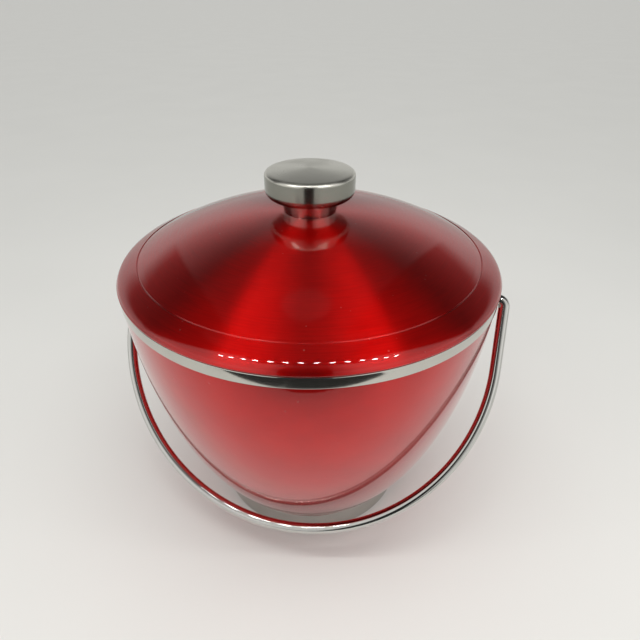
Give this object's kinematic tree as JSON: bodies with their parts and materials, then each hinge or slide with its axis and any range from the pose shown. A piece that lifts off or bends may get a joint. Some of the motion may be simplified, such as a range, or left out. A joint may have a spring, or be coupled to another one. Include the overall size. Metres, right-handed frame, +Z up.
{
  "type": "ice bucket",
  "caption": "Round double-walled ice bucket with a red lacquered body, a steel rim band and foot, a domed lift-off lid with a steel knob, and a swinging steel bail handle",
  "frame": {"origin": "centre of the face the bucket rests on", "axes": "+Z up along the bucket's axis, the bail's pivots lie along X, and the bail leans towards -Y at rest"},
  "size_m": [0.243, 0.228, 0.2348],
  "materials": {
    "red_lacquer": "translucent red lacquer over spun metal, gloss",
    "polished_steel": "polished stainless steel",
    "knob_steel": "turned stainless steel, satin face and polished side",
    "satin_steel": "spun satin stainless steel",
    "fastener_steel": "plain zinc-plated steel",
    "pad_rubber": "matte black non-slip rubber",
    "silicone": "soft translucent grey silicone",
    "nylon": "natural moulded nylon",
    "foam": "cream rigid insulating foam"
  },
  "bodies": {
    "bucket": {"outer_shell": "red_lacquer", "inner_liner": "satin_steel", "wall_insulation": "foam", "rim_band": "polished_steel", "foot_ring": "polished_steel", "base_plate": "satin_steel", "base_pad": "pad_rubber", "base_screw_1": "fastener_steel", "base_screw_2": "fastener_steel", "base_screw_3": "fastener_steel", "bail_bush_right": "nylon", "bail_bush_left": "nylon"},
    "lid": {"lid_shell": "red_lacquer", "lid_pan": "satin_steel", "lid_insulation": "foam", "lid_gasket": "silicone", "knob_cap": "knob_steel", "knob_neck": "knob_steel", "knob_stud": "fastener_steel", "knob_washer": "fastener_steel", "knob_nut": "fastener_steel"},
    "bail": {"bail_rod": "polished_steel", "bail_retainer_right": "fastener_steel", "bail_retainer_left": "fastener_steel"}
  },
  "joints": [
    {"name": "bail_swing", "type": "hinge", "parent": "bucket", "child": "bail", "pos_m": [0, 0, 0.1655], "axis": [-1, 0, 0], "range_deg": [-3, 294]},
    {"name": "lid_lift", "type": "slide", "parent": "bucket", "child": "lid", "axis": [0, 0, 1], "range_m": [0, 0.04]}
  ]
}
